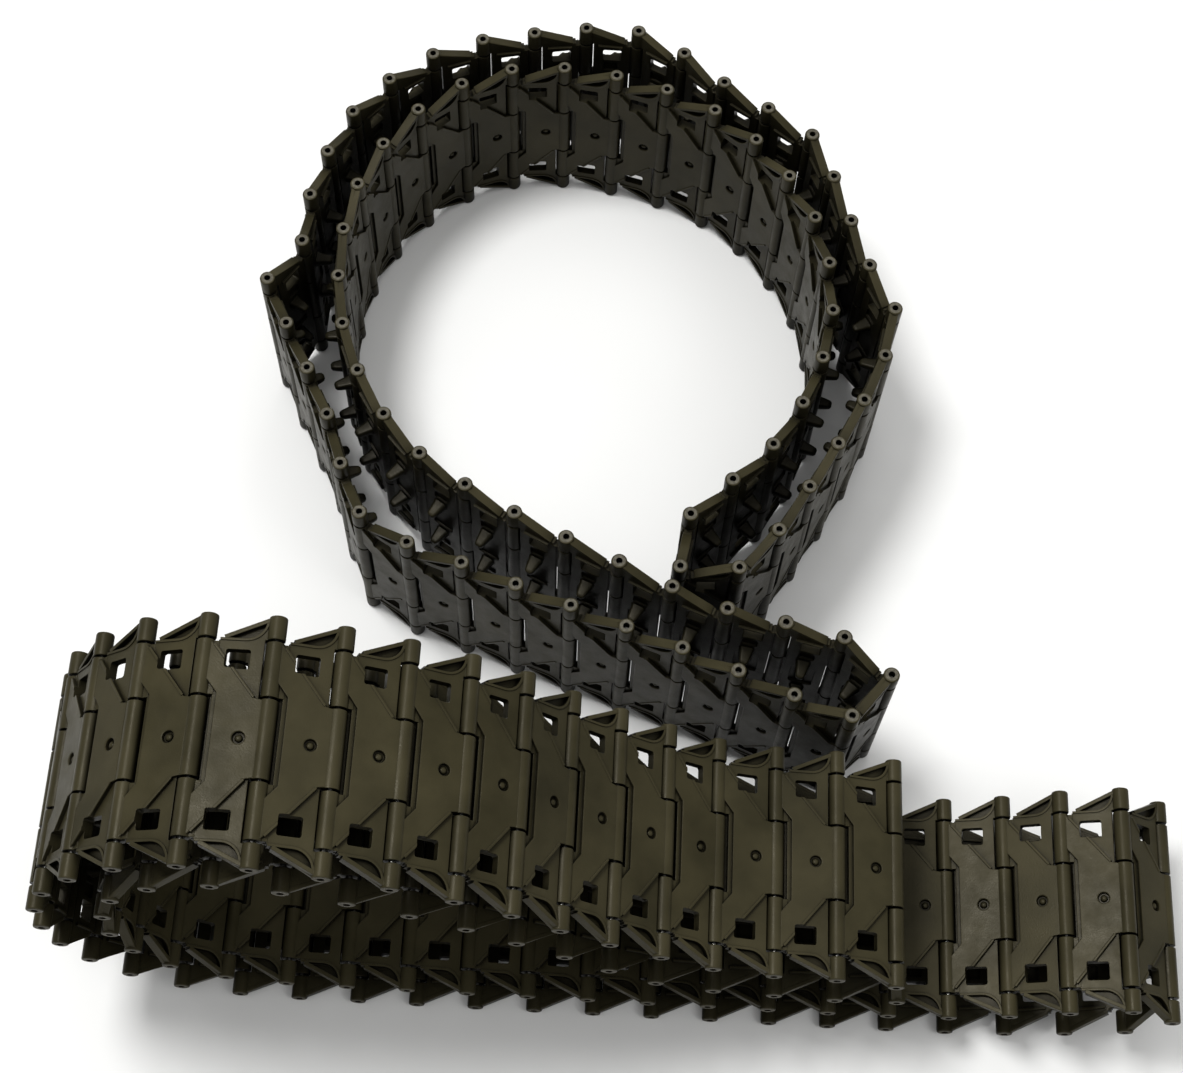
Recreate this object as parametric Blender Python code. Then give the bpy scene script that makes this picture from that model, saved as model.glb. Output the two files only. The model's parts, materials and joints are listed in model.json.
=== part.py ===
"""A pair of closed track belts for a 1:16 tracked model: one looped on its edge, one folded flat.

Each belt is a chain of moulded links on steel pins. In a link's own frame X runs from its ring end to its
far end, Y along the pins and Z out of the tread face, with the origin on the pin at the far end.
"""

from math import cos, pi, sin

import bmesh
import bpy
from mathutils import Matrix, Vector

MM = 0.001

# Belts
FOLDED_BELT_Y = -77 * MM
LINKS = 74
PITCH = 10.9 * MM
WIDTH = 41.2 * MM
HALF = WIDTH / 2

# Knuckles: ring knuckles (one central, two at the tips) take turns with the two far knuckles
BARREL_RADIUS = 1.5 * MM
BARREL_POINTS = 6
BARREL_START = 0.38 * pi
BARREL_SWEEP = 1.24 * pi
CENTRE_REACH = 6.5 * MM
FAR_INNER = 6.9 * MM
FAR_OUTER = 16.1 * MM
TIP_INNER = 16.5 * MM
NECK_HALF = 0.75 * MM

# Plate
EDGE_SETBACK = 1.95 * MM
NECK_DEPTH = 0.5 * MM
PLATE_TOP = 1.2 * MM
PLATE_BOTTOM = -0.9 * MM
SPINE = 1.4 * MM
WINDOW = 3.4 * MM
WINDOW_ACROSS = 13.0 * MM
CUTTER_REACH = 4 * MM

# Guide horns
HORN_ALONG = 5.0 * MM
HORN_ACROSS = 6.0 * MM
HORN_REACH = 4.2 * MM
HORN_ROOT = (2.6 * MM, 1.8 * MM)
HORN_TIP_WIDTH = 1.0 * MM

# Pins
PIN_RADIUS = 0.5 * MM
PIN_SIDES = 6
PIN_LENGTH = 39.6 * MM
HOLE_RADIUS = 0.95 * MM

# Routes in millimetres through the pin centres, seen along the pins, with the tread face on the left.
# The looped route starts at its tail fold, the folded one at the right end of its top run.
LOOPED_ROUTE = (
    (8, -23), (9.7, -12.2), (19, -3), (28, 8), (35, 27), (35, 44), (29, 60.5), (15, 76.5),
    (-5, 85), (-27, 86.5), (-45, 77.5), (-57, 59.5), (-60, 38), (-55.5, 17), (-43, -1), (-24.4, -13),
    (-4.6, -22), (15.5, -30.5), (37, -35), (45.9, -40.8),
    (41.1, -50.4), (10.5, -39.5), (-30.5, -25), (-50.4, -16.2), (-58.3, 3), (-67.8, 22), (-73.4, 32.6),
    (-67.8, 41.5), (-67.4, 52), (-61, 73), (-45.5, 89), (-24.6, 95.6), (-3, 97), (15, 84.6), (33, 72.5),
    (36.5, 62), (43.5, 42), (47.8, 32), (41, 12), (25, -16), (18.8, -22.6),
)
FOLDED_ROUTE = (
    (-47.5, 33.5), (-33, 36.8), (-18, 38.5), (4.5, 54), (21.5, 69.6), (40.5, 79.6), (61.5, 84.9), (79, 80),
    (91.5, 65), (96, 45), (93, 25), (83, 9.5), (68, 2.8), (45, 1.8), (0, 1.8), (-50, 1.8), (-75, 3.8),
    (-97.6, 12.5),
    (-95.8, 23.3), (-86.5, 24.2), (-67, 15.5), (-50, 12.4), (0, 12.4), (40, 12.6), (62, 13.5), (76, 19),
    (83.5, 32), (85, 47), (81, 63), (71, 72.5), (59, 74), (45, 69), (28, 59), (10, 43), (-8, 27), (-28, 23),
    (-49, 22.7),
)
ROUTE_SAMPLES = 24
ROUTE_SCALES = (0.96, 1.06)
BISECTIONS = 50
FLAT_ANGLE = 0.001

# Looks: colour, metallic value and roughness
TRACK_PLASTIC = ((0.028, 0.024, 0.018, 1.0), 0.0, 0.38)
PIN_STEEL = ((0.62, 0.61, 0.58, 1.0), 1.0, 0.3)


def clear_scene():
    for item in list(bpy.data.objects):
        bpy.data.objects.remove(item, do_unlink=True)


def principled(name, colour, metallic, roughness):
    material = bpy.data.materials.new(name)
    material.use_nodes = True
    shader = material.node_tree.nodes["Principled BSDF"]
    shader.inputs["Base Color"].default_value = colour
    shader.inputs["Metallic"].default_value = metallic
    shader.inputs["Roughness"].default_value = roughness
    return material


# --- routes and pins ---------------------------------------------------------------------------------

def smooth_loop(points):
    """Closed Catmull-Rom curve through the points, as a fine closed polyline in metres."""
    count = len(points)
    curve = []
    for index in range(count):
        a, b, c, d = (Vector(points[(index + step) % count]) for step in (-1, 0, 1, 2))
        for sample in range(ROUTE_SAMPLES):
            t = sample / ROUTE_SAMPLES
            bend = 2 * b + (c - a) * t + (2 * a - 5 * b + 4 * c - d) * t ** 2
            curve.append((bend + (3 * b - a - 3 * c + d) * t ** 3) * 0.5 * MM)
    return curve


def walk(curve, scale):
    """Pins one pitch apart along the scaled curve, and how far round the last one gets."""
    path = [point * scale for point in curve]
    total = len(path)
    pins = [path[0]]
    place = 0
    for _ in range(LINKS):
        here = pins[-1]
        while (path[(place + 1) % total] - here).length < PITCH:
            place += 1
        start = path[place % total]
        stride = path[(place + 1) % total] - start
        low, high = 0.0, 1.0
        for _ in range(BISECTIONS):
            middle = (low + high) / 2
            if (start + stride * middle - here).length < PITCH:
                low = middle
            else:
                high = middle
        pins.append(start + stride * high)
    return pins, place + high


def pins_of(points):
    """The closed belt's pins: the route's size is adjusted slightly so that the last link meets the first."""
    curve = smooth_loop(points)
    small, large = ROUTE_SCALES
    for _ in range(BISECTIONS):
        scale = (small + large) / 2
        pins, reached = walk(curve, scale)
        if reached > len(curve):
            small = scale
        else:
            large = scale
    return pins[:LINKS]


def link_frame(pins, index):
    """Frame of one link inside its belt: origin at its far pin, X ahead, Z out of the tread."""
    near = pins[index % LINKS]
    far = pins[(index + 1) % LINKS]
    ahead = (far - near).normalized()
    x_axis = Vector((ahead.x, ahead.y, 0))
    z_axis = Vector((-ahead.y, ahead.x, 0))
    y_axis = z_axis.cross(x_axis)
    frame = Matrix((x_axis, y_axis, z_axis)).transposed().to_4x4()
    frame.translation = (far.x, far.y, 0)
    return frame


# --- solids ------------------------------------------------------------------------------------------

def add_prism(mesh, outline, start, length):
    """Closed prism: the outline's 3-D points extruded by the length vector from the start offset."""
    base = [mesh.verts.new(point + start) for point in outline]
    top = [mesh.verts.new(point + start + length) for point in outline]
    count = len(outline)
    faces = [mesh.faces.new(base), mesh.faces.new(reversed(top))]
    for index in range(count):
        after = (index + 1) % count
        faces.append(mesh.faces.new((base[after], base[index], top[index], top[after])))
    bmesh.ops.recalc_face_normals(mesh, faces=faces)


def add_barrel(mesh, centre_x, neck_x, inner, outer):
    """One solid knuckle with its neck, between two distances from the middle."""
    toward = 1 if neck_x > centre_x else -1
    outline = []
    for step in range(BARREL_POINTS):
        angle = BARREL_START + BARREL_SWEEP * step / (BARREL_POINTS - 1)
        reach = toward * BARREL_RADIUS * cos(angle)
        outline.append(Vector((centre_x + reach, 0, BARREL_RADIUS * sin(angle))))
    outline.append(Vector((neck_x, 0, -NECK_HALF)))
    outline.append(Vector((neck_x, 0, NECK_HALF)))
    add_prism(mesh, outline, Vector((0, inner, 0)), Vector((0, outer - inner, 0)))


def add_bore(mesh, centre):
    """Pin hole right across the belt."""
    outline = round_outline(HOLE_RADIUS, PIN_SIDES)
    add_prism(mesh, outline, centre - Vector((0, WIDTH, 0)), Vector((0, 2 * WIDTH, 0)))


def round_outline(radius, sides):
    outline = []
    for step in range(sides):
        angle = 2 * pi * step / sides
        outline.append(Vector((radius * cos(angle), 0, radius * sin(angle))))
    return outline


def add_horn(mesh, side):
    """Tapered guide horn on the inner face, on one side of the middle, ending in a short ridge."""
    middle = Vector((HORN_ALONG - PITCH, side * HORN_ACROSS, 0))
    root = []
    for u, v in ((-0.5, -0.5), (0.5, -0.5), (0.5, 0.5), (-0.5, 0.5)):
        corner = Vector((HORN_ROOT[0] * u, HORN_ROOT[1] * v, PLATE_BOTTOM / 2))
        root.append(mesh.verts.new(middle + corner))
    ridge = []
    for v in (-0.5, 0.5):
        ridge.append(mesh.verts.new(middle + Vector((0, HORN_TIP_WIDTH * v, -HORN_REACH))))
    faces = [
        mesh.faces.new(root),
        mesh.faces.new((root[1], root[0], ridge[0])),
        mesh.faces.new((root[3], root[2], ridge[1])),
        mesh.faces.new((root[2], root[1], ridge[0], ridge[1])),
        mesh.faces.new((root[0], root[3], ridge[1], ridge[0])),
    ]
    bmesh.ops.recalc_face_normals(mesh, faces=faces)


def loft(stations):
    """Closed band through stations of (frame, x, half width, top, bottom)."""
    mesh = bmesh.new()
    rings = []
    for frame, along, half, top, bottom in stations:
        corners = ((-half, bottom), (half, bottom), (half, top), (-half, top))
        rings.append([mesh.verts.new(frame @ Vector((along, y, z))) for y, z in corners])
    mesh.faces.new(rings[0])
    mesh.faces.new(reversed(rings[-1]))
    for ring, following in zip(rings, rings[1:]):
        for index in range(4):
            after = (index + 1) % 4
            mesh.faces.new((ring[after], ring[index], following[index], following[after]))
    bmesh.ops.recalc_face_normals(mesh, faces=mesh.faces)
    bmesh.ops.triangulate(mesh, faces=mesh.faces)
    return mesh


def mesh_object(name, mesh):
    data = bpy.data.meshes.new(name)
    mesh.to_mesh(data)
    mesh.free()
    item = bpy.data.objects.new(name, data)
    bpy.context.collection.objects.link(item)
    return item


def combine(item, tools, operation):
    """Boolean with closed tool shapes that do not touch each other, applied to the object's mesh."""
    cutter = mesh_object("tool", tools)
    modifier = item.modifiers.new("combine", "BOOLEAN")
    modifier.operation = operation
    modifier.object = cutter
    modifier.solver = "EXACT"
    view = bpy.context.evaluated_depsgraph_get()
    result = bpy.data.meshes.new_from_object(item.evaluated_get(view))
    item.modifiers.clear()
    item.data = result
    bpy.data.objects.remove(cutter, do_unlink=True)


def run_mesh(frames, bores):
    """Mesh of one or more links in a row, in the last link's frame, with open knuckles at both ends."""
    to_last = frames[-1].inverted()
    local = [to_last @ frame for frame in frames]
    stations = [(local[0], EDGE_SETBACK - PITCH, HALF, PLATE_TOP, PLATE_BOTTOM)]
    for number, frame in enumerate(local):
        if number:
            stations.append((frame, -PITCH - SPINE, HALF, SPINE, -SPINE))
            stations.append((frame, -PITCH + SPINE, HALF, SPINE, -SPINE))
        stations.append((frame, -EDGE_SETBACK, FAR_OUTER, PLATE_TOP, PLATE_BOTTOM))
    item = mesh_object("run", loft(stations))

    ring_end = bmesh.new()
    neck = EDGE_SETBACK + NECK_DEPTH
    for inner, outer in ((-HALF, -TIP_INNER), (-CENTRE_REACH, CENTRE_REACH), (TIP_INNER, HALF)):
        add_barrel(ring_end, -PITCH, neck - PITCH, inner, outer)
    ring_end.transform(local[0])
    far_end = bmesh.new()
    for inner, outer in ((-FAR_OUTER, -FAR_INNER), (FAR_INNER, FAR_OUTER)):
        add_barrel(far_end, 0.0, -neck, inner, outer)
    combine(item, ring_end, "UNION")
    combine(item, far_end, "UNION")

    horns = bmesh.new()
    for frame in local:
        pair = bmesh.new()
        for side in (-1, 1):
            add_horn(pair, side)
        pair.transform(frame)
        append(horns, pair)
    combine(item, horns, "UNION")

    cuts = bmesh.new()
    if bores[0]:
        add_bore(cuts, local[0] @ Vector((-PITCH, 0, 0)))
    if bores[1]:
        add_bore(cuts, Vector((0, 0, 0)))
    if len(frames) == 1:
        for side in (-1, 1):
            add_window(cuts, side)
    if cuts.verts:
        combine(item, cuts, "DIFFERENCE")
    merge_flat_faces(item.data)
    data = item.data
    bpy.data.objects.remove(item, do_unlink=True)
    return data


def merge_flat_faces(data):
    """Joins faces that lie in one plane, so that no edge is left across a flat surface."""
    mesh = bmesh.new()
    mesh.from_mesh(data)
    bmesh.ops.dissolve_limit(mesh, angle_limit=FLAT_ANGLE, verts=mesh.verts, edges=mesh.edges)
    bmesh.ops.triangulate(mesh, faces=mesh.faces)
    mesh.to_mesh(data)
    mesh.free()


def add_window(mesh, side):
    """Square through-window in a wing."""
    half = WINDOW / 2
    middle = Vector((HORN_ALONG - PITCH, side * WINDOW_ACROSS, 0))
    outline = [middle + Vector((u * half, v * half, 0)) for u, v in ((-1, -1), (1, -1), (1, 1), (-1, 1))]
    add_prism(mesh, outline, Vector((0, 0, -CUTTER_REACH)), Vector((0, 0, 2 * CUTTER_REACH)))


def append(target, source):
    """Adds the source mesh's shapes to the target mesh."""
    data = bpy.data.meshes.new("append")
    source.to_mesh(data)
    source.free()
    target.from_mesh(data)
    bpy.data.meshes.remove(data)


def pin_mesh():
    mesh = bmesh.new()
    outline = round_outline(PIN_RADIUS, PIN_SIDES)
    add_prism(mesh, outline, Vector((0, -PIN_LENGTH / 2, 0)), Vector((0, PIN_LENGTH, 0)))
    data = bpy.data.meshes.new("pin")
    mesh.to_mesh(data)
    mesh.free()
    return data


# --- belts -------------------------------------------------------------------------------------------

def place(name, data, frame, belt, material):
    item = bpy.data.objects.new(name, data)
    if not data.materials:
        data.materials.append(material)
    bpy.context.collection.objects.link(item)
    item.parent = belt
    item.matrix_local = frame
    return item


def build_belt(belt, pins, plan, shared, materials):
    """Places a belt's links, pins and sections by its plan."""
    for name, first, count, bores in plan:
        if bores == FREE:
            for step in range(count):
                frame = link_frame(pins, first + step)
                place(f"{name}_link_{step + 1:02d}", shared["link"], frame, belt, materials["track"])
                place(f"{name}_pin_{step + 1:02d}", shared["pin"], frame, belt, materials["steel"])
        else:
            frames = [link_frame(pins, first + step) for step in range(count)]
            data = run_mesh(frames, bores)
            place(name, data, frames[-1], belt, materials["track"])


def belt_empty(name, across, rotation):
    """Empty that carries a belt, at a distance along Y."""
    empty = bpy.data.objects.new(name, None)
    bpy.context.collection.objects.link(empty)
    empty.location.y = across
    empty.rotation_euler = rotation
    return empty


# Each plan row: name, first link, number of links, and FREE where every link is a piece of its own, or
# whether the ring end and the far end of the section are bored.
FREE = "free"
LOOPED_PLAN = (
    ("looped_tail_end", 0, 1, (False, True)),
    ("tail", 1, 5, FREE),
    ("looped_inner_a", 6, 10, (True, False)),
    ("looped_inner_b", 16, 9, (False, False)),
    ("looped_inner_c", 25, 9, (False, False)),
    ("looped_front_fold", 34, 1, (False, False)),
    ("looped_outer_a", 35, 10, (False, False)),
    ("looped_outer_b", 45, 10, (False, False)),
    ("looped_outer_c", 55, 9, (False, False)),
    ("looped_outer_d", 64, 9, (False, False)),
    ("looped_tail_fold", 73, 1, (False, False)),
)
FOLDED_PLAN = (
    ("top", 0, 12, FREE),
    ("folded_outer_a", 12, 9, (True, False)),
    ("folded_outer_b", 21, 9, (False, False)),
    ("folded_outer_c", 30, 8, (False, False)),
    ("folded_low_fold", 38, 1, (False, True)),
    ("low", 39, 4, FREE),
    ("folded_inner_a", 43, 10, (True, False)),
    ("folded_inner_b", 53, 10, (False, False)),
    ("folded_inner_c", 63, 10, (False, False)),
    ("folded_top_fold", 73, 1, (False, True)),
)

def corners_of(belt):
    return [piece.matrix_world @ vertex.co for piece in belt.children for vertex in piece.data.vertices]


def centre_on_floor(belts):
    """Stands each belt on z = 0, with the middle of the pair's box on the Z axis."""
    bpy.context.view_layer.update()
    corners = {belt: corners_of(belt) for belt in belts}
    points = [point for belt in belts for point in corners[belt]]
    middle = [(min(point[axis] for point in points) + max(point[axis] for point in points)) / 2
              for axis in range(2)]
    for belt in belts:
        lowest = min(point.z for point in corners[belt])
        belt.location -= Vector((middle[0], middle[1], lowest))


def main():
    clear_scene()
    materials = {
        "track": principled("track_plastic", *TRACK_PLASTIC),
        "steel": principled("pin_steel", *PIN_STEEL),
    }
    shared = {"link": run_mesh([Matrix.Identity(4)], (True, True)), "pin": pin_mesh()}
    looped = belt_empty("looped_belt", 0.0, (0, 0, 0))
    folded = belt_empty("folded_belt", FOLDED_BELT_Y, (pi / 2, 0, pi))
    build_belt(looped, pins_of(LOOPED_ROUTE), LOOPED_PLAN, shared, materials)
    build_belt(folded, pins_of(FOLDED_ROUTE), FOLDED_PLAN, shared, materials)
    centre_on_floor((looped, folded))


main()
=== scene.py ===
"""Looks of a pair of moulded track belts on steel pins: one looped on its edge, one folded over flat.

In a link's own frame X runs from its ring end to its far end, Y along the pins and Z out of the tread
face, with the origin on the pin at the far end. Lengths are in millimetres up to the last step.
"""

import json
from math import cos, pi, radians, sin

import bmesh
import bpy
import numpy as np
from mathutils import Matrix, Vector

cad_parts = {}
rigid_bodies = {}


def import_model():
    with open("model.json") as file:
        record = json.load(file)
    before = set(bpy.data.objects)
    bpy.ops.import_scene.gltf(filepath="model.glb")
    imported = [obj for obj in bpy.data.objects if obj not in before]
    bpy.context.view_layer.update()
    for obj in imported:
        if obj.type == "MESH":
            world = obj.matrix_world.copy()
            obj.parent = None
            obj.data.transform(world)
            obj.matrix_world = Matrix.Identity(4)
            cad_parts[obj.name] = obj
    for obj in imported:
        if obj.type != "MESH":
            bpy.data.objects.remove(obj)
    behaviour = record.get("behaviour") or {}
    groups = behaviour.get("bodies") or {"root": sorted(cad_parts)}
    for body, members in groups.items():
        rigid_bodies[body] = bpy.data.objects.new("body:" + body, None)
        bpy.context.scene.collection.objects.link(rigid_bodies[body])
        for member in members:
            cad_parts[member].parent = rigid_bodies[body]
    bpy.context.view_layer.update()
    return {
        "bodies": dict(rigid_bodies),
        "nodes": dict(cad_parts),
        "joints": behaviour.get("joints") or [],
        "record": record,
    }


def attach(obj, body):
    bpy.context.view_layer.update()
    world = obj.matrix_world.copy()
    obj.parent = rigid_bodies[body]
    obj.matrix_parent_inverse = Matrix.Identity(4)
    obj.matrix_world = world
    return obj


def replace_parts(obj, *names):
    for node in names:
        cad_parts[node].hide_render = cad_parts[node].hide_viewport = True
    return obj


MM = 0.001

# --- driving dimensions ------------------------------------------------------------------------------

# Belt and link: half the width, and where the ring end's pin is
LINKS = 74
PITCH = 10.9
HALF = 20.6
RING = -PITCH

# Knuckles: barrel and bore radius, and where each knuckle starts and ends along the pin
BARREL = 1.5
BARREL_SIDES = 20
BORE = 0.62
BORE_SIDES = 16
BORE_REACH = HALF + 1
CENTRE_REACH = 6.5
FAR_INNER = 6.9
FAR_OUTER = 16.1
TIP_INNER = 16.5

# Levels of the thin web, the wings and the raised tread plate, and the web's distance from the pins
WEB_BOTTOM = -0.9
WEB_TOP = -0.15
WING_TOP = 0.6
PLATE_TOP = 1.18
EDGE = 1.62

# Openings; the dimple's hole and its dome are turned profiles of radius and height
WINDOW = (3.9, 3.3)
WINDOW_PLACE = (RING + 5.6, 13.1)
CORNER_ROUND = 0.4
CORNER_STEPS = 3
CUT_REACH = 3
DIMPLE_X = RING + 3.9
DIMPLE_SIDES = 20
DOME_SIDES = 16
DIMPLE_CUT = ((0.95, 0.45), (1.05, PLATE_TOP - 0.12), (1.3, PLATE_TOP + 0.03), (1.3, CUT_REACH))
DIMPLE_DOME = ((0.66, 0.2), (0.62, 0.62), (0.5, 0.8), (0.3, 0.9), (0.1, 0.93))

# Straight edge of the tread plate, the quarter-round arch out to the tips, and the ribs on them
DIAGONAL = ((RING + 2.3, 6.7), (-1.5, 15.3))
ARCH_CENTRE = (RING + 4.7, 19.7)
ARCH_RADIUS = 3.3
ARCH_STEPS = 7
ARCH_END = -2.2
RIB = 0.45
LIP = ((RING + 1.0, HALF - 0.65), (-2.9, TIP_INNER + 0.2))
LIP_WIDTH = 0.7
KEEL = ((RING + 2.6, 16.3), (-3.2, 16.0))

# Pockets in the inner face: middle and size
MIDDLE_POCKET = ((RING + 5.3, 0), (4.6, 7.4))
SIDE_POCKET_PLACE = (RING + 5.3, 9.4)
SIDE_POCKET = (3.0, 2.6)
POCKET_DEPTH = 0.45

# Half outlines with y >= 0, from the middle line back to the middle line
WEB_HALF = (
    (RING + EDGE, 0), (RING + EDGE, TIP_INNER), (RING, TIP_INNER + 0.1), (RING, HALF - 0.3),
    (RING + 1.3, HALF - 0.3), (-3.0, TIP_INNER + 0.5), (-2.3, FAR_OUTER), (-EDGE, FAR_OUTER), (-EDGE, 0),
)
WING_START = (
    (RING + EDGE, 0), (RING + EDGE, TIP_INNER), (RING + 0.3, TIP_INNER + 0.1), (RING + 0.3, HALF - 0.4),
)
WING_END = ((-2.0, FAR_OUTER + 0.15), (-2.0, 0))
PLATE_HALF = (
    (RING + 0.9, 0), (RING + 0.9, CENTRE_REACH - 0.1), (RING + 2.1, CENTRE_REACH + 0.1),
    DIAGONAL[1], (-0.9, 15.9), (-0.9, 9.4), (-2.7, 7.2), (-2.7, 0),
)
RING_NECK_HALF = (
    (RING + 0.4, 0), (RING + 0.4, CENTRE_REACH - 0.15), (RING + 2.3, CENTRE_REACH - 0.15), (RING + 2.3, 0),
)
FAR_NECK = (-2.2, -0.4)
FAR_NECK_INSET = 0.1

# Lowest and highest level of each part of the link
WEB_LEVELS = (WEB_BOTTOM, WEB_TOP)
WING_LEVELS = (WEB_BOTTOM + 0.1, WING_TOP)
PLATE_LEVELS = (WEB_BOTTOM + 0.2, PLATE_TOP)
ARCH_LEVELS = (WEB_BOTTOM + 0.2, WING_TOP + 0.2)
DIAGONAL_LEVELS = (WEB_BOTTOM + 0.3, PLATE_TOP + 0.13)
LIP_LEVELS = (WEB_BOTTOM - 0.05, WING_TOP + 0.25)
KEEL_LEVELS = (WEB_BOTTOM - 0.5, WEB_BOTTOM + 0.3)
RING_NECK_LEVELS = (WEB_BOTTOM + 0.15, PLATE_TOP - 0.05)
FAR_NECK_LEVELS = (WEB_BOTTOM + 0.15, WING_TOP + 0.1)

# Guide horns: rings of height, length and width, with corners rounded by a share of the narrower side
HORN_X = RING + 5.0
HORN_Y = 6.0
HORN_LEVELS = ((-0.5, 3.2, 2.2), (-1.6, 2.5, 1.85), (-3.3, 1.9, 1.5), (-3.85, 1.6, 1.25), (-4.15, 0.9, 0.7))
HORN_ROUND = 0.32

# Pins: half the length, and the chamfer at the ends
PIN_RADIUS = 0.5
PIN_HALF = 19.1
PIN_CHAMFER = 0.12
PIN_SIDES = 16

# Rounding of rims: most parts, the ribs, the tread plate and the tips' barrels
SOFT = 0.12
RIB_SOFT = 0.1
PLATE_SOFT = 0.16
TIP_SOFT = 0.3
SOFT_SEGMENTS = 2
SMOOTH_ANGLE = radians(36)
END_FACING = 0.95
TINY = 0.001

# Routes through the pin centres, as in the part's source
LOOPED_ROUTE = (
    (8, -23), (9.7, -12.2), (19, -3), (28, 8), (35, 27), (35, 44), (29, 60.5), (15, 76.5),
    (-5, 85), (-27, 86.5), (-45, 77.5), (-57, 59.5), (-60, 38), (-55.5, 17), (-43, -1), (-24.4, -13),
    (-4.6, -22), (15.5, -30.5), (37, -35), (45.9, -40.8),
    (41.1, -50.4), (10.5, -39.5), (-30.5, -25), (-50.4, -16.2), (-58.3, 3), (-67.8, 22), (-73.4, 32.6),
    (-67.8, 41.5), (-67.4, 52), (-61, 73), (-45.5, 89), (-24.6, 95.6), (-3, 97), (15, 84.6), (33, 72.5),
    (36.5, 62), (43.5, 42), (47.8, 32), (41, 12), (25, -16), (18.8, -22.6),
)
FOLDED_ROUTE = (
    (-47.5, 33.5), (-33, 36.8), (-18, 38.5), (4.5, 54), (21.5, 69.6), (40.5, 79.6), (61.5, 84.9), (79, 80),
    (91.5, 65), (96, 45), (93, 25), (83, 9.5), (68, 2.8), (45, 1.8), (0, 1.8), (-50, 1.8), (-75, 3.8),
    (-97.6, 12.5),
    (-95.8, 23.3), (-86.5, 24.2), (-67, 15.5), (-50, 12.4), (0, 12.4), (40, 12.6), (62, 13.5), (76, 19),
    (83.5, 32), (85, 47), (81, 63), (71, 72.5), (59, 74), (45, 69), (28, 59), (10, 43), (-8, 27), (-28, 23),
    (-49, 22.7),
)
ROUTE_SAMPLES = 24
ROUTE_SCALES = (0.96, 1.06)
ROUTE_BISECTIONS = 50
PIN_BISECTIONS = 40

# Each plan row: name, first link, number of links, and whether every link is a node of its own
LOOPED_PLAN = (
    ("looped_tail_end", 0, 1, False),
    ("tail", 1, 5, True),
    ("looped_inner_a", 6, 10, False),
    ("looped_inner_b", 16, 9, False),
    ("looped_inner_c", 25, 9, False),
    ("looped_front_fold", 34, 1, False),
    ("looped_outer_a", 35, 10, False),
    ("looped_outer_b", 45, 10, False),
    ("looped_outer_c", 55, 9, False),
    ("looped_outer_d", 64, 9, False),
    ("looped_tail_fold", 73, 1, False),
)
FOLDED_PLAN = (
    ("top", 0, 12, True),
    ("folded_outer_a", 12, 9, False),
    ("folded_outer_b", 21, 9, False),
    ("folded_outer_c", 30, 8, False),
    ("folded_low_fold", 38, 1, False),
    ("low", 39, 4, True),
    ("folded_inner_a", 43, 10, False),
    ("folded_inner_b", 53, 10, False),
    ("folded_inner_c", 63, 10, False),
    ("folded_top_fold", 73, 1, False),
)
# The links whose far pin is pulled out, so that the stretch beside them is free
PULLED_PINS = {"looped_tail_end", "folded_top_fold", "folded_low_fold"}

# Colours, and noise scales for each metre
PLASTIC_DARK = (0.017, 0.0150, 0.0074, 1)
PLASTIC_PALE = (0.034, 0.0295, 0.0150, 1)
# Paler colour on the edges: part rubbed wear, part painted highlight
PLASTIC_WEAR_AND_HIGHLIGHT = (0.060, 0.053, 0.032, 1)
# Near-black painted shade for gaps, corners and hollows
PLASTIC_PAINTED_SHADE = (0.0008, 0.0007, 0.0004, 1)
PLASTIC_SPECULAR = 0.075
PLASTIC_SPECULAR_TINT = (1.0, 0.93, 0.76, 1)
TRIM_DARK = (0.040, 0.036, 0.026, 1)
TRIM_PALE = (0.085, 0.078, 0.058, 1)
TRIM_ROUGHNESS = 0.62
TRIM_SPECULAR = 0.15
STEEL_DARK = (0.50, 0.49, 0.46, 1)
STEEL_PALE = (0.72, 0.71, 0.68, 1)
# Near-black painted shade for the steel where it runs into the bores
STEEL_PAINTED_SHADE = (0.02, 0.018, 0.014, 1)
FLOOR_DARK = (0.62, 0.62, 0.61, 1)
FLOOR_PALE = (0.65, 0.65, 0.64, 1)
FLOOR_ROUGHNESS = 0.7
PATCH_SCALE = 70
SMEAR_SCALE = 260
WEAR_AND_HIGHLIGHT_SCALE = 420
TRIM_SCALE = 1800
SCRATCH_SCALE = 2600
GRAIN_SCALE = 3500
FLOOR_SCALE = 3

# Widths and reaches of the looks, in metres; the three reaches set how far the painted shade spreads in gaps,
# hollows and bores
EDGE_ROUND = 0.00014
GAP_REACH = 0.007
HOLLOW_REACH = 0.035
BORE_GAP_REACH = 0.003
GRAIN_DEPTH = 0.0002
SCRATCH_DEPTH = 0.0001
LOOK_SAMPLES = 4

# Studio in metres and watts: name, place, target, size across and power of each light
LIGHTS = (
    ("overhead", (0, 0.2, 2.2), (0, 0.2, 0), 3.2, 28),
    ("key", (-0.32, 0.10, 0.95), (0, 0, 0.02), 0.28, 9),
    ("fill", (0.60, -0.45, 0.85), (0, 0, 0.02), 0.4, 1.6),
    ("back", (0.2, 0.95, 0.6), (0, 0, 0.02), 0.4, 1.6),
)
SKY_STRENGTH = 0.40
FLOOR_REACH = 8.0
FLOOR_LEVEL = -0.0002

# Camera: place in metres, tilt from straight down, roll and lens
CAMERA_PLACE = Vector((-9.8, -187.0, 393.9)) * MM
CAMERA_TILT = radians(25.35)
CAMERA_ROLL = radians(3.05)
CAMERA_LENS = 64.3
CAMERA_NEAR = 0.01


# --- routes ------------------------------------------------------------------------------------------

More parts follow.
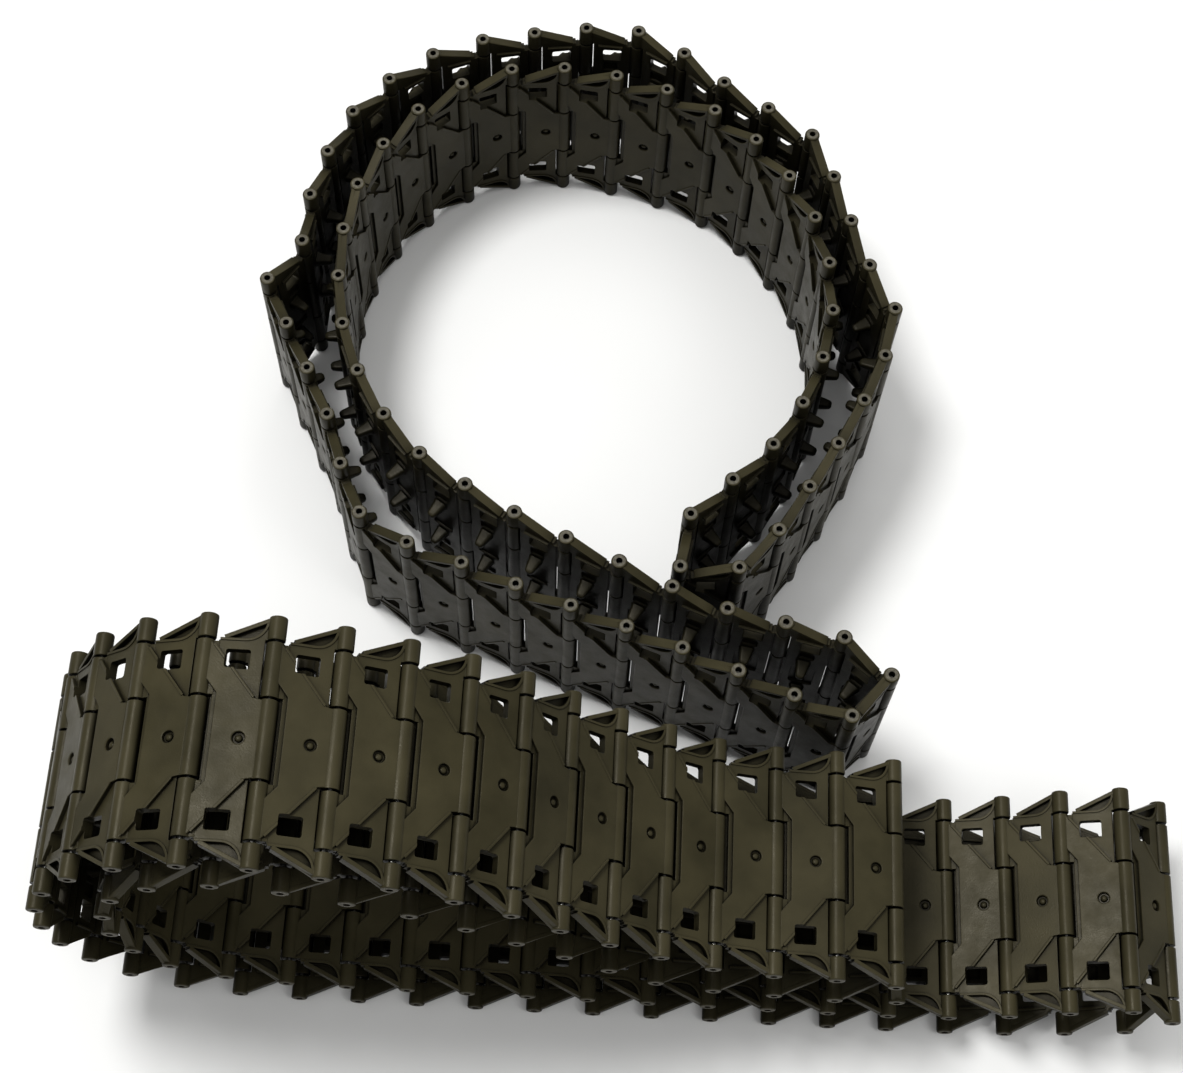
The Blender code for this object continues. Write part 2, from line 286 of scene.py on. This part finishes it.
def smooth_loop(points):
    """Closed Catmull-Rom curve through the points, as a fine closed polyline."""
    count = len(points)
    curve = []
    for index in range(count):
        a, b, c, d = (Vector(points[(index + step) % count]) for step in (-1, 0, 1, 2))
        for sample in range(ROUTE_SAMPLES):
            t = sample / ROUTE_SAMPLES
            bend = 2 * b + (c - a) * t + (2 * a - 5 * b + 4 * c - d) * t ** 2
            curve.append((bend + (3 * b - a - 3 * c + d) * t ** 3) * 0.5)
    return curve


def walk(curve, scale):
    """Pins one pitch apart along the scaled curve, and how far round the last one gets."""
    path = [point * scale for point in curve]
    total = len(path)
    pins = [path[0]]
    place = 0
    for _ in range(LINKS):
        here = pins[-1]
        while (path[(place + 1) % total] - here).length < PITCH:
            place += 1
        start = path[place % total]
        stride = path[(place + 1) % total] - start
        low, high = 0.0, 1.0
        for _ in range(PIN_BISECTIONS):
            middle = (low + high) / 2
            if (start + stride * middle - here).length < PITCH:
                low = middle
            else:
                high = middle
        pins.append(start + stride * high)
    return pins, place + high


def pins_of(points):
    """The closed belt's pins: the route's size is adjusted slightly so that the last link meets the first."""
    curve = smooth_loop(points)
    small, large = ROUTE_SCALES
    for _ in range(ROUTE_BISECTIONS):
        scale = (small + large) / 2
        pins, reached = walk(curve, scale)
        if reached > len(curve):
            small = scale
        else:
            large = scale
    return pins[:LINKS]


def link_frame(pins, index):
    """Frame of one link inside its belt: origin at its far pin, X ahead, Z out of the tread."""
    near = pins[index % LINKS]
    far = pins[(index + 1) % LINKS]
    ahead = (far - near).normalized()
    x_axis = Vector((ahead.x, ahead.y, 0))
    z_axis = Vector((-ahead.y, ahead.x, 0))
    y_axis = z_axis.cross(x_axis)
    frame = Matrix((x_axis, y_axis, z_axis)).transposed().to_4x4()
    frame.translation = (far.x, far.y, 0)
    return frame


# --- link and pin meshes -----------------------------------------------------------------------------

def mesh_object(name, mesh):
    """Object made from the bmesh, which is used up."""
    data = bpy.data.meshes.new(name)
    bmesh.ops.recalc_face_normals(mesh, faces=mesh.faces)
    mesh.to_mesh(data)
    mesh.free()
    item = bpy.data.objects.new(name, data)
    bpy.context.scene.collection.objects.link(item)
    return item


def evaluated_mesh(item):
    """The item's mesh with its modifiers applied."""
    bpy.context.view_layer.update()
    graph = bpy.context.evaluated_depsgraph_get()
    return bpy.data.meshes.new_from_object(item.evaluated_get(graph))


def combine(item, tool_mesh, operation):
    """Boolean with the tool, applied to the item's mesh."""
    tool = mesh_object("tool", tool_mesh)
    modifier = item.modifiers.new("combine", "BOOLEAN")
    modifier.operation = operation
    modifier.object = tool
    modifier.solver = "EXACT"
    result = evaluated_mesh(item)
    item.modifiers.clear()
    item.data = result
    bpy.data.objects.remove(tool, do_unlink=True)


def add_prism(mesh, outline, low, high):
    """Upright prism over an outline of (x, y) between two heights."""
    base = [mesh.verts.new((x, y, low)) for x, y in outline]
    top = [mesh.verts.new((x, y, high)) for x, y in outline]
    count = len(outline)
    mesh.faces.new(reversed(base))
    mesh.faces.new(top)
    for index in range(count):
        after = (index + 1) % count
        mesh.faces.new((base[index], base[after], top[after], top[index]))


def prism(outline, low, high, soft=SOFT):
    """Prism with its two rims rounded."""
    mesh = bmesh.new()
    add_prism(mesh, outline, low, high)
    bmesh.ops.recalc_face_normals(mesh, faces=mesh.faces)
    rims = [edge for edge in mesh.edges if abs(edge.verts[0].co.z - edge.verts[1].co.z) < TINY]
    soften(mesh, rims, soft)
    return mesh


def soften(mesh, edges, width):
    """Rounds the edges, unless the width is 0."""
    if width:
        bmesh.ops.bevel(mesh, geom=edges, offset=width, segments=SOFT_SEGMENTS, profile=0.5,
                        affect="EDGES", clamp_overlap=True)


def skin(mesh, rings):
    """Closed skin over a row of rings with equally many vertices."""
    mesh.faces.new(rings[0])
    mesh.faces.new(reversed(rings[-1]))
    count = len(rings[0])
    for ring, following in zip(rings, rings[1:]):
        for index in range(count):
            after = (index + 1) % count
            mesh.faces.new((ring[after], ring[index], following[index], following[after]))


def ring_along_y(mesh, x, y, radius, sides):
    """Round ring of vertices about an axis along Y at (x, 0)."""
    angles = [2 * pi * step / sides for step in range(sides)]
    return [mesh.verts.new((x + radius * cos(angle), y, radius * sin(angle))) for angle in angles]


def both_sides(half_outline):
    """Closed outline from its half with y >= 0, which starts and ends on the middle line."""
    other = [(x, -y) for x, y in reversed(half_outline) if y > 0]
    return list(half_outline) + other


def flipped(outline):
    """The outline on the other side of the middle line."""
    return [(x, -y) for x, y in reversed(outline)]


def cylinder(x, radius, start, end, soft=0.0, sides=BARREL_SIDES):
    """Cylinder along Y at (x, 0), with its rims rounded."""
    mesh = bmesh.new()
    skin(mesh, [ring_along_y(mesh, x, y, radius, sides) for y in (start, end)])
    bmesh.ops.recalc_face_normals(mesh, faces=mesh.faces)
    rims = [edge for edge in mesh.edges if abs(edge.verts[0].co.y - edge.verts[1].co.y) < TINY]
    soften(mesh, rims, soft)
    return mesh


def turned(profile, centre, sides):
    """Solid turned about an upright axis, from its profile of (radius, height)."""
    mesh = bmesh.new()
    rings = []
    for radius, height in profile:
        outline = disc_outline(centre[0], centre[1], radius, sides)
        rings.append([mesh.verts.new((x, y, height)) for x, y in outline])
    skin(mesh, rings)
    bmesh.ops.recalc_face_normals(mesh, faces=mesh.faces)
    return mesh


def rounded_box_outline(centre, size, radius=CORNER_ROUND):
    """Rectangle outline with round corners."""
    outline = []
    quarters = ((1, 1, 0), (-1, 1, 1), (-1, -1, 2), (1, -1, 3))
    for side_x, side_y, quarter in quarters:
        corner_x = centre[0] + side_x * (size[0] / 2 - radius)
        corner_y = centre[1] + side_y * (size[1] / 2 - radius)
        for step in range(CORNER_STEPS + 1):
            angle = (quarter + step / CORNER_STEPS) * pi / 2
            outline.append((corner_x + radius * cos(angle), corner_y + radius * sin(angle)))
    return outline


def disc_outline(x, y, radius, sides):
    """Round outline about (x, y)."""
    angles = [2 * pi * step / sides for step in range(sides)]
    return [(x + radius * cos(angle), y + radius * sin(angle)) for angle in angles]


def arc_points(radius):
    """Quarter circle of the arch, from the tip's knuckle round to the wing's outer edge."""
    points = []
    for step in range(ARCH_STEPS + 1):
        angle = pi + step / ARCH_STEPS * pi / 2
        points.append((ARCH_CENTRE[0] + radius * cos(angle), ARCH_CENTRE[1] + radius * sin(angle)))
    return points


def wing_outline():
    """Wings level with the windows: each runs out to its tip inside the arch."""
    return both_sides([*WING_START, *arc_points(ARCH_RADIUS), *WING_END])


def arch_rib():
    """Thin raised rib on the arch, carried on along the wing's outer edge."""
    inner = arc_points(ARCH_RADIUS + RIB / 2) + [(ARCH_END, ARCH_CENTRE[1] - ARCH_RADIUS - RIB / 2)]
    outer = arc_points(ARCH_RADIUS - RIB / 2) + [(ARCH_END, ARCH_CENTRE[1] - ARCH_RADIUS + RIB / 2)]
    return inner + list(reversed(outer))


def strip(start, end, width):
    """Outline of a straight strip between two points."""
    along = (Vector(end) - Vector(start)).normalized()
    across = Vector((-along.y, along.x)) * width / 2
    corners = (Vector(start) - across, Vector(end) - across, Vector(end) + across, Vector(start) + across)
    return [tuple(corner) for corner in corners]


def horn_mesh(side):
    """Tapered guide horn with a rounded tip on the inner face."""
    mesh = bmesh.new()
    rings = []
    for height, length, width in HORN_LEVELS:
        radius = min(length, width) * HORN_ROUND
        outline = rounded_box_outline((HORN_X, side * HORN_Y), (length, width), radius)
        rings.append([mesh.verts.new((x, y, height)) for x, y in outline])
    skin(mesh, rings)
    return mesh


def link_mesh(name, track, end_face):
    """One moulded link: web, wings, tread plate, knuckles, ribs, horns, windows, dimple and bores."""
    ribs = (
        (arch_rib(), ARCH_LEVELS), (strip(*DIAGONAL, RIB), DIAGONAL_LEVELS),
        (strip(*LIP, LIP_WIDTH), LIP_LEVELS), (strip(*KEEL, RIB), KEEL_LEVELS),
    )
    item = mesh_object(name, prism(both_sides(WEB_HALF), *WEB_LEVELS))
    combine(item, prism(wing_outline(), *WING_LEVELS), "UNION")
    combine(item, prism(both_sides(PLATE_HALF), *PLATE_LEVELS, PLATE_SOFT), "UNION")
    for side in (1, -1):
        for outline, levels in ribs:
            combine(item, prism(outline if side == 1 else flipped(outline), *levels, RIB_SOFT), "UNION")
        add_knuckles(item, side)
        combine(item, horn_mesh(side), "UNION")
    combine(item, cylinder(RING, BARREL, -CENTRE_REACH, CENTRE_REACH, SOFT), "UNION")
    combine(item, prism(both_sides(RING_NECK_HALF), *RING_NECK_LEVELS), "UNION")
    cut_openings(item)
    return finished(item, (track, end_face))


def add_knuckles(item, side):
    """The tip's knuckle, the far knuckle and its neck, on one side."""
    tip = (TIP_INNER, HALF) if side == 1 else (-HALF, -TIP_INNER)
    combine(item, cylinder(RING, BARREL, *tip, TIP_SOFT), "UNION")
    far = (FAR_INNER, FAR_OUTER) if side == 1 else (-FAR_OUTER, -FAR_INNER)
    combine(item, cylinder(0.0, BARREL, *far, SOFT), "UNION")
    inner, outer = far[0] + FAR_NECK_INSET, far[1] - FAR_NECK_INSET
    neck = [(FAR_NECK[0], inner), (FAR_NECK[1], inner), (FAR_NECK[1], outer), (FAR_NECK[0], outer)]
    combine(item, prism(neck, *FAR_NECK_LEVELS), "UNION")


def cut_openings(item):
    """Windows, pockets on the inner face, the dimple with its dome, and the two bores."""
    for side in (1, -1):
        window = rounded_box_outline((WINDOW_PLACE[0], side * WINDOW_PLACE[1]), WINDOW)
        combine(item, prism(window, -CUT_REACH, CUT_REACH, 0), "DIFFERENCE")
        pocket = rounded_box_outline((SIDE_POCKET_PLACE[0], side * SIDE_POCKET_PLACE[1]), SIDE_POCKET)
        combine(item, prism(pocket, -CUT_REACH, WEB_BOTTOM + POCKET_DEPTH), "DIFFERENCE")
    pocket = rounded_box_outline(*MIDDLE_POCKET)
    combine(item, prism(pocket, -CUT_REACH, WEB_BOTTOM + POCKET_DEPTH), "DIFFERENCE")
    combine(item, turned(DIMPLE_CUT, (DIMPLE_X, 0), DIMPLE_SIDES), "DIFFERENCE")
    combine(item, turned(DIMPLE_DOME, (DIMPLE_X, 0), DOME_SIDES), "UNION")
    for x in (RING, 0.0):
        combine(item, cylinder(x, BORE, -BORE_REACH, BORE_REACH, 0, BORE_SIDES), "DIFFERENCE")


def is_end_face(polygon):
    """The flat cut faces round the pin at the two tips."""
    return abs(polygon.normal.y) > END_FACING and abs(polygon.center.y) > HALF - TIP_SOFT


def finished(item, materials):
    """The item's mesh with flat faces shaded flat, round ones smooth, and its materials."""
    item.data.shade_smooth()
    item.data.set_sharp_from_angle(angle=SMOOTH_ANGLE)
    normals = item.modifiers.new("normals", "WEIGHTED_NORMAL")
    normals.mode = "FACE_AREA"
    normals.keep_sharp = True
    data = evaluated_mesh(item)
    bpy.data.objects.remove(item, do_unlink=True)
    for material in materials:
        data.materials.append(material)
    for polygon in data.polygons:
        polygon.material_index = 1 if len(materials) > 1 and is_end_face(polygon) else 0
    return data


def pin_mesh(steel):
    """Steel pin with chamfered ends."""
    mesh = bmesh.new()
    profile = ((-PIN_HALF, PIN_RADIUS - PIN_CHAMFER), (-PIN_HALF + PIN_CHAMFER, PIN_RADIUS),
               (PIN_HALF - PIN_CHAMFER, PIN_RADIUS), (PIN_HALF, PIN_RADIUS - PIN_CHAMFER))
    skin(mesh, [ring_along_y(mesh, 0, y, radius, PIN_SIDES) for y, radius in profile])
    return finished(mesh_object("pin", mesh), (steel,))


# --- materials ---------------------------------------------------------------------------------------

def new_material(name):
    """Node material, with its nodes, links and shader at hand."""
    material = bpy.data.materials.new(name)
    material.use_nodes = True
    nodes = material.node_tree.nodes
    return material, nodes, material.node_tree.links, nodes["Principled BSDF"]


def noise(nodes, links, scale, detail, roughness=0.55):
    """Noise fixed to the piece."""
    node = nodes.new("ShaderNodeTexNoise")
    node.inputs["Scale"].default_value = scale
    node.inputs["Detail"].default_value = detail
    node.inputs["Roughness"].default_value = roughness
    links.new(nodes.new("ShaderNodeTexCoord").outputs["Object"], node.inputs["Vector"])
    return node.outputs["Fac"]


def remap(nodes, links, value, from_low, from_high, to_low=0, to_high=1):
    """The value stretched from one range to another, and held at its ends."""
    node = nodes.new("ShaderNodeMapRange")
    node.inputs["From Min"].default_value = from_low
    node.inputs["From Max"].default_value = from_high
    node.inputs["To Min"].default_value = to_low
    node.inputs["To Max"].default_value = to_high
    links.new(value, node.inputs["Value"])
    return node.outputs["Result"]


def mix_colour(nodes, links, factor, first, second):
    """First colour where the factor is 0, second where it is 1; a colour is a tuple or a socket."""
    node = nodes.new("ShaderNodeMix")
    node.data_type = "RGBA"
    links.new(factor, node.inputs["Factor"])
    for socket, colour in ((node.inputs[6], first), (node.inputs[7], second)):
        if isinstance(colour, tuple):
            socket.default_value = colour
        else:
            links.new(colour, socket)
    return node.outputs[2]


def bump(nodes, links, height, strength, distance, shader, normal=None):
    """Fine relief on the shader's normal."""
    node = nodes.new("ShaderNodeBump")
    node.inputs["Strength"].default_value = strength
    node.inputs["Distance"].default_value = distance
    links.new(height, node.inputs["Height"])
    if normal:
        links.new(normal, node.inputs["Normal"])
    links.new(node.outputs["Normal"], shader.inputs["Normal"])


def rounded_edges(nodes, links, radius):
    """Normal that turns softly round the edges, and a mask that is 1 on the edges themselves."""
    node = nodes.new("ShaderNodeBevel")
    node.samples = LOOK_SAMPLES
    node.inputs["Radius"].default_value = radius
    dot = nodes.new("ShaderNodeVectorMath")
    dot.operation = "DOT_PRODUCT"
    links.new(node.outputs["Normal"], dot.inputs[0])
    links.new(nodes.new("ShaderNodeNewGeometry").outputs["Normal"], dot.inputs[1])
    return node.outputs["Normal"], remap(nodes, links, dot.outputs["Value"], 0.995, 0.80)


def painted_shade_mask(nodes, links, distance, low, high):
    """Mask for painted shade from ambient occlusion: 1 on open faces, down to 0 in gaps and corners."""
    node = nodes.new("ShaderNodeAmbientOcclusion")
    node.samples = LOOK_SAMPLES
    node.inputs["Distance"].default_value = distance
    return remap(nodes, links, node.outputs["AO"], low, high)


def product(nodes, links, first, second):
    """The two values multiplied."""
    node = nodes.new("ShaderNodeMath")
    node.operation = "MULTIPLY"
    links.new(first, node.inputs[0])
    links.new(second, node.inputs[1])
    return node.outputs["Value"]


def track_plastic():
    """Semi-gloss brown-black moulding: patchy gloss, fine grain, edges paler from rubbed wear and painted
    highlight, and painted shade in gaps and recesses.
    """
    material, nodes, links, shader = new_material("track_plastic_moulded")
    patches = remap(nodes, links, noise(nodes, links, PATCH_SCALE, 4), 0.3, 0.7)
    colour = mix_colour(nodes, links, patches, PLASTIC_DARK, PLASTIC_PALE)
    normal, edges = rounded_edges(nodes, links, EDGE_ROUND)
    # Edges made paler: part rubbed wear, part painted highlight
    wear_and_highlight = remap(nodes, links, noise(nodes, links, WEAR_AND_HIGHLIGHT_SCALE, 4), 0.35, 0.65, 0.15, 0.75)
    colour = mix_colour(nodes, links, product(nodes, links, edges, wear_and_highlight), colour, PLASTIC_WEAR_AND_HIGHLIGHT)
    # Painted shade: ambient occlusion darkens gaps and hollows towards near black
    unshaded = product(nodes, links, painted_shade_mask(nodes, links, GAP_REACH, 0.30, 0.90),
                       painted_shade_mask(nodes, links, HOLLOW_REACH, 0.08, 0.78))
    colour = mix_colour(nodes, links, unshaded, PLASTIC_PAINTED_SHADE, colour)
    links.new(colour, shader.inputs["Base Color"])
    smears = remap(nodes, links, noise(nodes, links, SMEAR_SCALE, 5, 0.65), 0.3, 0.7, 0.28, 0.46)
    links.new(smears, shader.inputs["Roughness"])
    grain = noise(nodes, links, GRAIN_SCALE, 3)
    bump(nodes, links, grain, 0.14, GRAIN_DEPTH, shader, normal)
    shader.inputs["Specular IOR Level"].default_value = PLASTIC_SPECULAR
    shader.inputs["Specular Tint"].default_value = PLASTIC_SPECULAR_TINT
    return material


def cut_end():
    """Paler, duller face where the knuckle's end was trimmed."""
    material, nodes, links, shader = new_material("track_plastic_trimmed")
    marks = noise(nodes, links, TRIM_SCALE, 4)
    colour = mix_colour(nodes, links, remap(nodes, links, marks, 0.35, 0.65), TRIM_DARK, TRIM_PALE)
    links.new(colour, shader.inputs["Base Color"])
    shader.inputs["Roughness"].default_value = TRIM_ROUGHNESS
    shader.inputs["Specular IOR Level"].default_value = TRIM_SPECULAR
    bump(nodes, links, marks, 0.25, GRAIN_DEPTH, shader)
    return material


def pin_steel():
    """Drawn steel wire with fine scratches, and painted shade where it meets the bores."""
    material, nodes, links, shader = new_material("pin_steel_drawn")
    scratches = noise(nodes, links, SCRATCH_SCALE, 4)
    colour = mix_colour(nodes, links, remap(nodes, links, scratches, 0.35, 0.65), STEEL_DARK, STEEL_PALE)
    # Painted shade: ambient occlusion darkens the steel next to the bores
    unshaded = painted_shade_mask(nodes, links, BORE_GAP_REACH, 0.1, 0.9)
    colour = mix_colour(nodes, links, unshaded, STEEL_PAINTED_SHADE, colour)
    links.new(colour, shader.inputs["Base Color"])
    shader.inputs["Metallic"].default_value = 1.0
    links.new(remap(nodes, links, scratches, 0.3, 0.7, 0.2, 0.4), shader.inputs["Roughness"])
    bump(nodes, links, scratches, 0.1, SCRATCH_DEPTH, shader)
    return material


def floor_white():
    """Plain pale floor."""
    material, nodes, links, shader = new_material("floor_white")
    tone = noise(nodes, links, FLOOR_SCALE, 2)
    links.new(mix_colour(nodes, links, tone, FLOOR_DARK, FLOOR_PALE), shader.inputs["Base Color"])
    shader.inputs["Roughness"].default_value = FLOOR_ROUGHNESS
    return material


# --- pieces ------------------------------------------------------------------------------------------

def joined(name, data, frames):
    """One object that holds a copy of the mesh in each frame, in metres, with the mesh's own normals."""
    count = len(data.vertices)
    places = np.empty(count * 3, dtype=np.float32)
    data.vertices.foreach_get("co", places)
    places = places.reshape(count, 3)
    normals = np.array([normal.vector for normal in data.corner_normals])
    corners = [list(polygon.vertices) for polygon in data.polygons]
    slots = [polygon.material_index for polygon in data.polygons]
    points, faces, directions = [], [], []
    for number, frame in enumerate(frames):
        turn = np.array(frame.to_3x3())
        points.append((places @ turn.T + np.array(frame.translation)) * MM)
        directions.append(normals @ turn.T)
        faces.extend([corner + number * count for corner in face] for face in corners)
    result = bpy.data.meshes.new(name)
    result.from_pydata(np.concatenate(points).tolist(), [], faces)
    result.shade_smooth()
    result.polygons.foreach_set("material_index", slots * len(frames))
    result.normals_split_custom_set(np.concatenate(directions).tolist())
    for material in data.materials:
        result.materials.append(material)
    item = bpy.data.objects.new(name, result)
    bpy.context.scene.collection.objects.link(item)
    return item


def body_of_node(name, bodies):
    """The body that carries a CAD node."""
    for body, members in bodies.items():
        if name in members:
            return body
    raise ValueError(name)


def dress_belt(to_row, pins, plan, meshes, bodies):
    """Replaces a belt's CAD nodes with detailed links and pins."""
    for name, first, count, single in plan:
        frames = [to_row @ link_frame(pins, first + step) for step in range(count)]
        if single:
            for number, frame in enumerate(frames, 1):
                for kind in ("link", "pin"):
                    node = f"{name}_{kind}_{number:02d}"
                    body = body_of_node(node, bodies)
                    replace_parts(place_piece(f"{node}_{kind}_detail", kind, [frame], meshes, body), node)
            continue
        body = body_of_node(name, bodies)
        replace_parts(place_piece(f"{name}_links", "link", frames, meshes, body), name)
        if name not in PULLED_PINS:
            place_piece(f"{name}_pins", "pin", frames, meshes, body)


def place_piece(name, kind, frames, meshes, body):
    """One piece of links or pins in their frames, riding on its body."""
    item = joined(name, meshes[kind], frames)
    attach(item, body)
    return item


def belt_to_row(joint_place, pin, turn):
    """Belt frame to row frame, from one joint of the frame whose pin is known."""
    rotation = turn.to_4x4()
    offset = Vector(joint_place) / MM - rotation @ Vector((pin.x, pin.y, 0))
    return Matrix.Translation(offset) @ rotation


# --- studio ------------------------------------------------------------------------------------------

def area_light(name, place, target, size, power):
    """Round soft light that shines at the target."""
    data = bpy.data.lights.new(name, "AREA")
    data.shape = "DISK"
    data.size = size
    data.energy = power
    item = bpy.data.objects.new(name, data)
    bpy.context.scene.collection.objects.link(item)
    item.location = place
    item.rotation_euler = (Vector(target) - Vector(place)).to_track_quat("-Z", "Y").to_euler()


def studio():
    """Pale floor, soft lights and an even pale surround."""
    mesh = bmesh.new()
    bmesh.ops.create_grid(mesh, x_segments=1, y_segments=1, size=FLOOR_REACH)
    floor = mesh_object("floor", mesh)
    floor.location.z = FLOOR_LEVEL
    floor.data.materials.append(floor_white())
    for light in LIGHTS:
        area_light(*light)
    world = bpy.data.worlds.new("studio")
    bpy.context.scene.world = world
    world.use_nodes = True
    background = world.node_tree.nodes["Background"]
    background.inputs["Color"].default_value = (1, 1, 1, 1)
    background.inputs["Strength"].default_value = SKY_STRENGTH
    bpy.context.scene.view_settings.view_transform = "Standard"


def camera():
    """Camera in front of the pair, looking down on it."""
    data = bpy.data.cameras.new("camera")
    data.lens = CAMERA_LENS
    data.clip_start = CAMERA_NEAR
    item = bpy.data.objects.new("camera", data)
    bpy.context.scene.collection.objects.link(item)
    item.matrix_world = (Matrix.Translation(CAMERA_PLACE) @ Matrix.Rotation(CAMERA_TILT, 4, "X")
                         @ Matrix.Rotation(CAMERA_ROLL, 4, "Z"))
    bpy.context.scene.camera = item


def main():
    for item in list(bpy.data.objects):
        bpy.data.objects.remove(item, do_unlink=True)
    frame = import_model()
    bodies = frame["record"]["behaviour"]["bodies"]
    joints = {joint["name"]: joint for joint in frame["joints"]}
    meshes = {"link": link_mesh("link", track_plastic(), cut_end()), "pin": pin_mesh(pin_steel())}

    looped_pins = pins_of(LOOPED_ROUTE)
    looped = belt_to_row(joints["tail_hinge_01"]["pos_m"], looped_pins[2], Matrix.Identity(3))
    dress_belt(looped, looped_pins, LOOPED_PLAN, meshes, bodies)
    folded_pins = pins_of(FOLDED_ROUTE)
    laid_down = Matrix.Rotation(pi, 3, "Z") @ Matrix.Rotation(pi / 2, 3, "X")
    folded = belt_to_row(joints["top_hinge_01"]["pos_m"], folded_pins[1], laid_down)
    dress_belt(folded, folded_pins, FOLDED_PLAN, meshes, bodies)

    studio()
    camera()


main()
